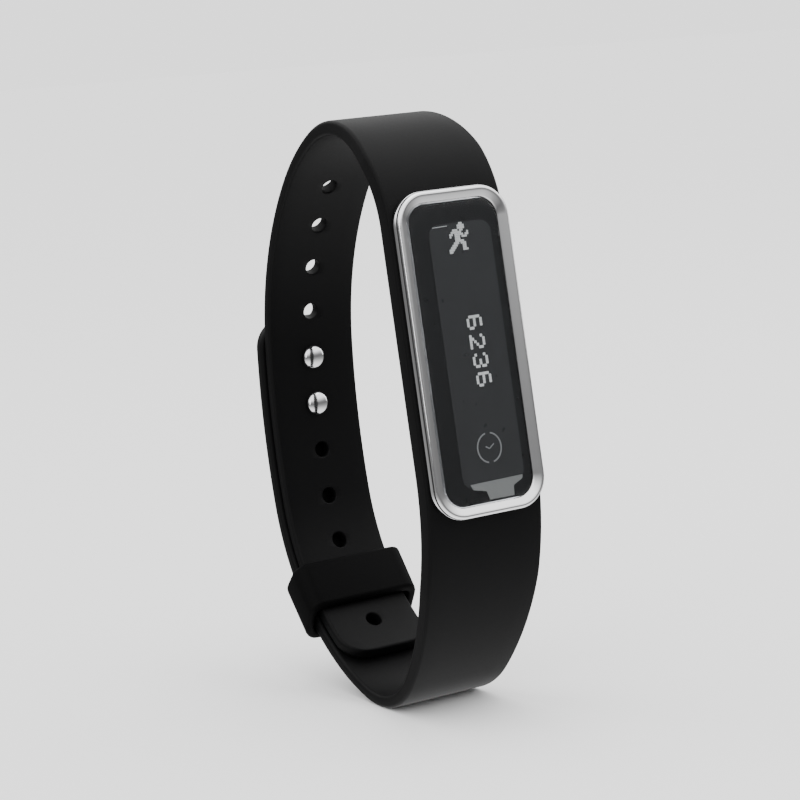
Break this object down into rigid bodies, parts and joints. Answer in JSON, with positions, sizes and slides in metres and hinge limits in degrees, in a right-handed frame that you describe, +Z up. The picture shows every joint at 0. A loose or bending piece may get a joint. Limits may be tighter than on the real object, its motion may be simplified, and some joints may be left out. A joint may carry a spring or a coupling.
{
  "type": "fitness tracker band",
  "caption": "Slim black silicone wristband with a curved rectangular display in a polished metal frame, a row of holes, a stud clasp and a keeper loop, closed as worn.",
  "frame": {"origin": "under the middle of the closed band's bounding box, at the height of its lowest point", "axes": "+Z up along the closed band's long side, -Y out of the display, X along the wearer's arm"},
  "size_m": [0.0158, 0.0438, 0.0714],
  "materials": {
    "silicone": "matt moulded silicone",
    "gasket": "matt",
    "foam": "closed-cell foam",
    "polished_metal": "polished",
    "cover_glass": "polished, dark tinted",
    "display": "glossy dark panel",
    "flex_circuit": "satin film",
    "carrier": "matt",
    "housing": "fine matt texture",
    "board": "solder mask",
    "chip": "moulded",
    "ceramic": "ceramic",
    "cell": "foil",
    "steel": "satin",
    "stud_metal": "polished",
    "gold": "gold plated"
  },
  "bodies": {
    "band": {"back_cover": "housing", "back_cover_seal": "gasket", "battery_cell": "cell", "battery_pad": "foam", "bezel_frame": "polished_metal", "charging_contacts": "gold", "circuit_board": "board", "clock_crystal": "steel", "cover_screws": "steel", "display_carrier": "carrier", "display_flex": "flex_circuit", "display_panel": "display", "front_glass": "cover_glass", "lens_gasket": "gasket", "memory_chip": "chip", "module_housing": "housing", "motion_sensor": "chip", "processor_chip": "chip", "radio_antenna": "ceramic", "silicone_band": "silicone", "touch_electrode": "gold", "vibration_motor": "steel"},
    "keeper": {"keeper_loop": "silicone"},
    "clasp_end": {"peg_strap_end": "silicone", "clasp_plate": "steel", "clasp_studs": "stud_metal"}
  },
  "joints": [
    {"name": "keeper_slide", "type": "hinge", "parent": "band", "child": "keeper", "pos_m": [0, -0.00714, 0.02727], "axis": [1, 0, 0], "range_deg": [-8, 15]},
    {"name": "clasp_flex", "type": "hinge", "parent": "band", "child": "clasp_end", "pos_m": [0, 0.01973, 0.02554], "axis": [-1, 0, 0], "range_deg": [0, 24]}
  ]
}
